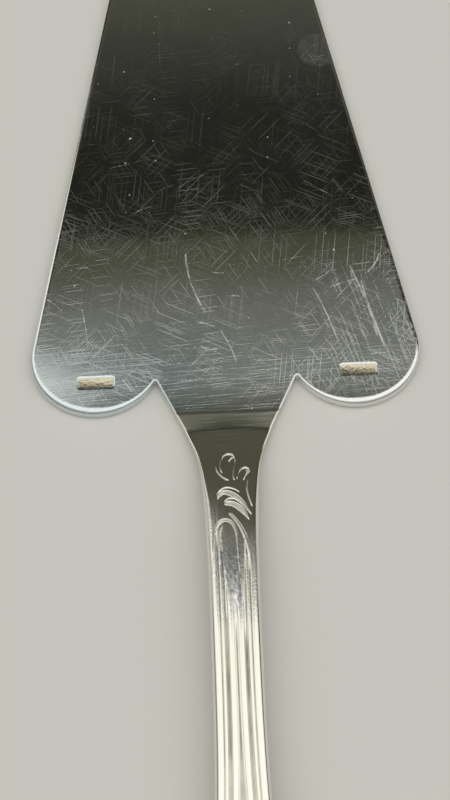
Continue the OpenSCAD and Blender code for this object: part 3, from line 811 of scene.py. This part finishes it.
high = add(relief, "ShaderNodeMath", (broad, THIN_POWER), operation="POWER")
profiles = {}
SECTIONS = (("reed", lane, REED_SECTION), ("ridge", away, RIDGE_SECTION), ("moat", away, MOAT_SECTION))
for name, value, cut in SECTIONS:
    profile = add(relief, "ShaderNodeFloatCurve", {"Value": value})
    shape = profile.mapping.curves[0].points
    shape[0].location = cut[0]
    shape[1].location = cut[-1]
    for corner in cut[1:-1]:
        shape.new(*corner)
    profile.mapping.update()
    profiles[name] = profile
struck_so_far = first.outputs["Geometry"]
for name in ("ridge", "moat"):
    here = add(relief, "ShaderNodeMath", (profiles[name], high), operation="MULTIPLY")
    most = add(relief, "ShaderNodeMath", (here, stored[name]), operation="MAXIMUM")
    struck_so_far = add(relief, "GeometryNodeStoreNamedAttribute", {
        0: struck_so_far, "Name": name, "Value": most}, data_type="FLOAT", domain="POINT")
relief.links.new(struck_so_far.outputs[0], last.inputs["Geometry"])
# All of it together: ridges up, moats beside them and grooves between the reeds down
sinking = add(relief, "ShaderNodeMath", (q_here, given["Sink start"]), operation="SUBTRACT")
sinking = add(relief, "ShaderNodeMath", (sinking, given["Sink run"]), operation="DIVIDE")
sinking = add(relief, "ShaderNodeMapRange", (sinking, 0.0, 1.0, 1.0, 0.0), **SOFT)
ridge = add(relief, "ShaderNodeMath", (stored["ridge"], sinking), operation="MULTIPLY")
moat = stored["moat"]
bare = add(relief, "ShaderNodeMapRange", (ridge, *BARE_OF_RIDGES))
for share in (bare, sinking):
    moat = add(relief, "ShaderNodeMath", (moat, share), operation="MULTIPLY")
groove = add(relief, "ShaderNodeMath", (1.0, profiles["reed"]), operation="SUBTRACT")
groove = add(relief, "ShaderNodeMath", (groove, reed_on), operation="MULTIPLY")
up = add(relief, "ShaderNodeMath", (ridge, given["Scroll height"]), operation="MULTIPLY")
down = add(relief, "ShaderNodeMath", (groove, given["Reed depth"]), operation="MULTIPLY")
down = add(relief, "ShaderNodeMath", (moat, given["Moat depth"], down), operation="MULTIPLY_ADD")
rise = add(relief, "ShaderNodeMath", (up, down), operation="SUBTRACT")
rise = add(relief, "ShaderNodeMath", (rise, on_top), operation="MULTIPLY")
offset = add(relief, "ShaderNodeCombineXYZ", {2: rise})
deep = add(relief, "ShaderNodeMath", (moat, MOAT_TARNISH), operation="MULTIPLY")
deep = add(relief, "ShaderNodeMath", (groove, deep), operation="MAXIMUM", use_clamp=True)
deep = add(relief, "ShaderNodeMath", (deep, on_top), operation="MULTIPLY")
crest = add(relief, "ShaderNodeMath", (ridge, on_top), operation="MULTIPLY", use_clamp=True)
body = last.outputs["Geometry"]
for name, value in (("hollow", deep), ("crest", crest)):
    body = add(relief, "GeometryNodeStoreNamedAttribute", {
        0: body, "Name": name, "Value": value}, data_type="FLOAT", domain="POINT")
lifted = add(relief, "GeometryNodeSetPosition", {0: body, "Offset": offset})
real = add(relief, "GeometryNodeRealizeInstances", (lifted,))
dressed = add(relief, "GeometryNodeSetMaterial", {0: real, "Material": given["Metal"]})
add(relief, "NodeGroupOutput", (dressed,))

# Struck and wheel-polished silver plate: brighter than the blade, with polishing lines across the neck
# and along the stem, fine pits in the panel under the arch, and a brown tarnish left in the hollows.
SILVER_BRIGHT = "#F3F1E9"
SILVER_PITTED = "#969CA5"
TARNISH = "#75674F"
STRUCK_ROUGH = 0.07
ROOT_OLIVE_SHARE = 0.4
# Polishing lines and pits: degrees, length, gap and seed, and for the pits the two levels of the noise
NECK_POLISH = (2, 7.0, 0.20, 21)
STEM_POLISH = (90, 14.0, 0.14, 22)
PITS = (90, 0.8, 0.35, 31, (0.25, 0.75))
# Where each of them lies: from one q to another, with the share at each where it isn't 0 and 1.
# A lean below zero puts the place further from the blade on the right than on the left.
ROOT = (26.0, 14.0)
RUBBED_OUT = (62.0, 80.0, 1.0, 0.12)
MATTED_START = (19.0, 30.0)
MATTED_END = (46.0, 38.0)
MATTED_LEAN = -0.8
PANEL_START = (29.0, 33.0)
PANEL_END = (43.0, 38.0)
PANEL_LEAN = -2.0
PANEL_LEFT_BY = 0.4
PANEL_SIDE = (1.8, 1.2)
# How deep a hollow has to be to hold tarnish, and the blotches that it lies in
DIRTY = (0.8, 1.0)
BLOTCHES = (0.15, 3.0, (0.3, 0.65, 0.5, 0.8), "3D")
bright, tree, place = metal("struck_silver_plate")
spot = add(tree, "ShaderNodeSeparateXYZ", (place,)).outputs
q_here = add(tree, "ShaderNodeMath", (notch_y, spot[1]), operation="SUBTRACT")
hollow = add(tree, "ShaderNodeAttribute", attribute_name="hollow").outputs["Fac"]
crest = add(tree, "ShaderNodeAttribute", attribute_name="crest").outputs["Fac"]
root = add(tree, "ShaderNodeMapRange", (q_here, *ROOT), **SOFT)
blotch = blotches(tree, place, *BLOTCHES)
dirt = add(tree, "ShaderNodeMapRange", (hollow, *DIRTY), **SOFT)
# Tarnish stays in the narrow grooves and is rubbed out of the broad panel at the end
rubbed_out = add(tree, "ShaderNodeMapRange", (q_here, *RUBBED_OUT), **SOFT)
for share in (blotch, rubbed_out):
    dirt = add(tree, "ShaderNodeMath", (dirt, share), operation="MULTIPLY")
# The ground between the scrolls is matted, on the left from nearer the blade than on the right
lean = add(tree, "ShaderNodeMath", (spot[0], MATTED_LEAN, q_here), operation="MULTIPLY_ADD")
matted = add(tree, "ShaderNodeMapRange", (lean, *MATTED_START), **SOFT)
matted_end = add(tree, "ShaderNodeMapRange", (q_here, *MATTED_END), **SOFT)
clear = add(tree, "ShaderNodeMath", (1.0, crest), operation="SUBTRACT")
for share in (matted_end, clear):
    matted = add(tree, "ShaderNodeMath", (matted, share), operation="MULTIPLY")
# Pits lie in the panel, between the arch and the place where the middle reeds come up
panel = add(tree, "ShaderNodeMapRange", (q_here, *PANEL_START), **SOFT)
panel_lean = add(tree, "ShaderNodeMath", (spot[0], PANEL_LEAN, q_here), operation="MULTIPLY_ADD")
panel_end = add(tree, "ShaderNodeMapRange", (panel_lean, *PANEL_END), **SOFT)
panel_off = add(tree, "ShaderNodeMath", (spot[0], PANEL_LEFT_BY), operation="ADD")
panel_off = add(tree, "ShaderNodeMath", (panel_off,), operation="ABSOLUTE")
panel_side = add(tree, "ShaderNodeMapRange", (panel_off, *PANEL_SIDE), **SOFT)
pits = brushed(tree, place, *PITS)
for share in (panel, panel_end, panel_side):
    pits = add(tree, "ShaderNodeMath", (pits, share), operation="MULTIPLY")
olive = add(tree, "ShaderNodeMath", (root, ROOT_OLIVE_SHARE), operation="MULTIPLY")
stem_films = ((pits, SILVER_PITTED), (olive, SILVER_TARNISHED), (dirt, TARNISH))
tint = filmed(tree, linear(SILVER_BRIGHT), stem_films)
across_neck = brushed(tree, place, *NECK_POLISH)
across_neck = add(tree, "ShaderNodeMath", (across_neck, root), operation="MULTIPLY")
along_stem = brushed(tree, place, *STEM_POLISH)
past_root = add(tree, "ShaderNodeMath", (1.0, root), operation="SUBTRACT")
along_stem = add(tree, "ShaderNodeMath", (along_stem, past_root), operation="MULTIPLY")
polish_shares = (
    (along_stem, 0.06), (across_neck, 0.10), (root, 0.05), (matted, 0.19), (pits, 0.08), (crest, 0.09),
    (dirt, 0.2))
rough = raised(tree, STRUCK_ROUGH, polish_shares)

# The heel's slope goes on over the seam. The neck's bend starts softer than the solid's, then catches up.
HEEL_HOLD = 2.8
HEEL_CATCH = 0.8
HEEL_LAG = 0.038
past_seam = add(tree, "ShaderNodeMath", (q_here, root_q), operation="SUBTRACT")
hold = add(tree, "ShaderNodeMath", (past_seam, 0.0), operation="MAXIMUM")
hold = add(tree, "ShaderNodeMath", (hold, HEEL_HOLD), operation="MINIMUM")
height = add(tree, "ShaderNodeMath", (
    hold, -(HEEL_SLOPE + HEEL_LAG) / (2 * HEEL_HOLD), HEEL_SLOPE), operation="MULTIPLY_ADD")
height = add(tree, "ShaderNodeMath", (height, hold), operation="MULTIPLY")
catch = add(tree, "ShaderNodeMath", (past_seam, HEEL_HOLD), operation="SUBTRACT")
catch = add(tree, "ShaderNodeMath", (catch, 0.0), operation="MAXIMUM")
catch = add(tree, "ShaderNodeMath", (catch, HEEL_CATCH), operation="MINIMUM")
back_up = add(tree, "ShaderNodeMath", (
    catch, HEEL_LAG / (2 * HEEL_CATCH), -HEEL_LAG), operation="MULTIPLY_ADD")
# The climb ends softer than the solid's: its bend runs out evenly over some millimetres, so its height
# follows a cubic on each side of the middle
RUN_OUT = 7.0
arch_bend = math.sin(2 * math.atan((handle_h - sheet_t) / CLIMB_LEN)) / CLIMB_LEN
run_out_rise = arch_bend * RUN_OUT ** 2 / 12
at_level = add(tree, "ShaderNodeMapRange", (q_here, level_q - RUN_OUT, level_q + RUN_OUT, -1.0, 1.0))
before_level = add(tree, "ShaderNodeMath", (at_level,), operation="SIGN")
near_level = add(tree, "ShaderNodeMath", (at_level,), operation="ABSOLUTE")
near_level = add(tree, "ShaderNodeMath", (1.0, near_level), operation="SUBTRACT")
near_level = add(tree, "ShaderNodeMath", (near_level, 3.0), operation="POWER")
near_level = add(tree, "ShaderNodeMath", (1.0, near_level), operation="SUBTRACT")
eased = add(tree, "ShaderNodeMath", (before_level, near_level), operation="MULTIPLY")
# Grain of the matted ground
MATT_GRAIN = 0.35
MATT_HEIGHT = 0.025
grain = add(tree, "ShaderNodeTexNoise", {"Vector": place, "Scale": 1 / MATT_GRAIN, "Detail": 1.0})
grain = add(tree, "ShaderNodeMath", (grain, matted), operation="MULTIPLY")
stem_heights = ((back_up, catch), (eased, run_out_rise), (grain, MATT_HEIGHT))
coat(tree, tint, rough, raised(tree, height, stem_heights))

# The relief is struck into the bar, so that the mesh holds it
strike = handle.modifiers.new("struck_relief", "NODES")
strike.node_group = relief
die = {"Scroll lines": scroll_lines, "Line count": len(SCROLL_LINES), **DIE_SIZES, "Metal": bright}
for name, value in die.items():
    strike[sockets[name].identifier] = value
graph = bpy.context.evaluated_depsgraph_get()
struck = bpy.data.meshes.new_from_object(
    handle.evaluated_get(graph), preserve_all_data_layers=True, depsgraph=graph)
handle.modifiers.remove(strike)
handle.data = struck
struck.name = "struck_handle"
bpy.data.objects.remove(scroll_lines)
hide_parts("handle")
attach(handle, "root")

# Solder seam: a film of silver solder in the slanted joint between the blade and the handle.
# It ran in when the two were heated together, was filed flush and plated over,
# so only a fine line crosses the neck.
SOLDER_SILVER = "#E2E0D6"
SOLDER_GRAIN = (2.0, 3.0, (0.3, 0.7, 0.10, 0.20), "3D")
film_back = grid[0]
film_front = film_back - [0.0, film_q, 0.0]
widths = handle_half(film_front[:, 1]) / handle_half(film_back[:, 1])
film_front = film_front * np.stack([widths, 1 + 0 * widths, 1 + 0 * widths], axis=1)
film = np.concatenate([film_front, film_back])
film = np.stack([film[:, 0], notch_y - film[:, 1], film[:, 2]], axis=1) * MM
sides = [(j, (j + 1) % section, section + (j + 1) % section, section + j) for j in range(section)]
ends = [tuple(range(section)), tuple(range(section, 2 * section))]
film_mesh = bpy.data.meshes.new("solder_film")
film_mesh.from_pydata(film.tolist(), [], sides + ends)
bead = bmesh.new()
bead.from_mesh(film_mesh)
bmesh.ops.recalc_face_normals(bead, faces=bead.faces)
bead.to_mesh(film_mesh)
bead.free()
film_mesh.shade_smooth()
film_mesh.set_sharp_from_angle(angle=SHARP_ANGLE)
seam = placed("solder_film", film_mesh)
solder, tree, place = metal("plated_silver_solder")
rough = blotches(tree, place, *SOLDER_GRAIN)
spot = add(tree, "ShaderNodeSeparateXYZ", (place,)).outputs
height = add(tree, "ShaderNodeMath", (spot[1], -HEEL_SLOPE), operation="MULTIPLY")
coat(tree, linear(SOLDER_SILVER), rough, height)
film_mesh.materials.append(solder)
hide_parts("solder_seam")
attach(seam, "root")

# Floor: a plain pale table top.
TABLE_TOP = "#E4E2DD"
TABLE_ROUGH = 0.8
FLOOR_HALF = 20.0
FLOOR_Z = -0.00005
floor_mesh = bpy.data.meshes.new("floor")
corners = [(sx * FLOOR_HALF, sy * FLOOR_HALF, FLOOR_Z) for sx, sy in ((-1, -1), (1, -1), (1, 1), (-1, 1))]
floor_mesh.from_pydata(corners, [], [(0, 1, 2, 3)])
floor = placed("floor", floor_mesh)
paper = bpy.data.materials.new("pale_table_top")
paper.use_nodes = True
paint = paper.node_tree.nodes["Principled BSDF"].inputs
paint["Base Color"].default_value = linear(TABLE_TOP)
paint["Roughness"].default_value = TABLE_ROUGH
floor_mesh.materials.append(paper)

# Light: a broad white diffuser overhead and behind the camera, with the dim studio beyond it.
# Its shades follow how far ahead a direction leans, as a share of how steeply it rises. They lie on two
# ramps, one from behind to overhead and one beyond it, so that each has steps fine enough.
LIGHT = 1.2
LEAST_STEEP = 0.05
LOW_LEVEL = (0.0, 0.6, 0.45, 1.0)
# A direction that leans to the left or the right by more than this counts as less far ahead
SIDE_FROM = 0.2
SIDE_REACHES = ((-1.0, 1.2), (1.0, 0.4))
NEAR_STOPS = (
    (-2.2, "#A0A19C"), (-1.3, "#BEBEB8"), (-0.6, "#F2F1EC"), (-0.25, "#FFFFFF"), (0.0, "#E2E1DB"),
    (0.2, "#FFFFFF"), (0.45, "#F4F2EA"))
FAR_STOPS = (
    (0.45, "#F4F2EA"), (0.48, "#D6D5CD"), (0.505, "#B9BAB5"), (0.53, "#9A9C99"), (0.555, "#777976"),
    (0.58, "#717370"), (0.62, "#6A6C67"), (0.64, "#5B5C55"), (0.652, "#4A4B3A"), (0.668, "#464735"),
    (0.673, "#23241F"), (0.70, "#1E1F1B"), (0.75, "#252622"), (0.79, "#393A34"), (0.82, "#4A4B41"))
world = bpy.data.worlds.new("studio")
world.use_nodes = True
bpy.context.scene.world = world
tree = world.node_tree
tree.nodes.clear()
toward = add(tree, "ShaderNodeTexCoord").outputs["Generated"]
ray = add(tree, "ShaderNodeSeparateXYZ", (toward,)).outputs
ahead = ray[1]
for side, reach in SIDE_REACHES:
    out = add(tree, "ShaderNodeMath", (ray[0], side, -SIDE_FROM), operation="MULTIPLY_ADD")
    out = add(tree, "ShaderNodeMath", (out, 0.0), operation="MAXIMUM")
    ahead = add(tree, "ShaderNodeMath", (out, -reach, ahead), operation="MULTIPLY_ADD")
steep = add(tree, "ShaderNodeMath", (ray[2], LEAST_STEEP), operation="MAXIMUM")
ahead = add(tree, "ShaderNodeMath", (ahead, steep), operation="DIVIDE")
falloffs = []
for stops in (NEAR_STOPS, FAR_STOPS):
    first, last = stops[0][0], stops[-1][0]
    span = add(tree, "ShaderNodeMapRange", (ahead, first, last))
    falloff = add(tree, "ShaderNodeValToRGB", (span,))
    shades = falloff.color_ramp.elements
    shades[0].color = linear(stops[0][1])
    shades[1].color = linear(stops[-1][1])
    for at, colour in stops[1:-1]:
        shades.new((at - first) / (last - first)).color = linear(colour)
    falloffs.append(falloff)
beyond = add(tree, "ShaderNodeMath", (ahead, FAR_STOPS[0][0]), operation="GREATER_THAN")
room = add(tree, "ShaderNodeMix", {"Factor": beyond, "A": falloffs[0], "B": falloffs[1]}, data_type="RGBA")
level = add(tree, "ShaderNodeMapRange", (ray[2], *LOW_LEVEL), **SOFT)
strength = add(tree, "ShaderNodeMath", (level, LIGHT), operation="MULTIPLY")
sky = add(tree, "ShaderNodeBackground", {"Color": room.outputs["Result"], "Strength": strength})
add(tree, "ShaderNodeOutputWorld", (sky,))

# Camera: above the handle's end, looking along it and down at the blade.
CAMERA_AIM = np.array([-0.3, 5.27, 0.0])
CAMERA_FAR = 374.1
CAMERA_UP = math.radians(60.0)
CAMERA_ROLL = math.radians(-2.31)
LENS = 110.25
SENSOR_W = 36.0
look = Vector((0.0, math.cos(CAMERA_UP), -math.sin(CAMERA_UP)))
level_right = Vector((1.0, 0.0, 0.0))
level_up = level_right.cross(look)
right = math.cos(CAMERA_ROLL) * level_right + math.sin(CAMERA_ROLL) * level_up
up = math.cos(CAMERA_ROLL) * level_up - math.sin(CAMERA_ROLL) * level_right
eye = (Vector(CAMERA_AIM) - look * CAMERA_FAR) * MM
lens = bpy.data.cameras.new("camera")
lens.lens = LENS
lens.sensor_width = SENSOR_W
camera = placed("camera", lens)
camera.matrix_world = Matrix.Translation(eye) @ Matrix((right, up, -look)).transposed().to_4x4()
bpy.context.scene.camera = camera
bpy.context.scene.view_settings.view_transform = "Standard"
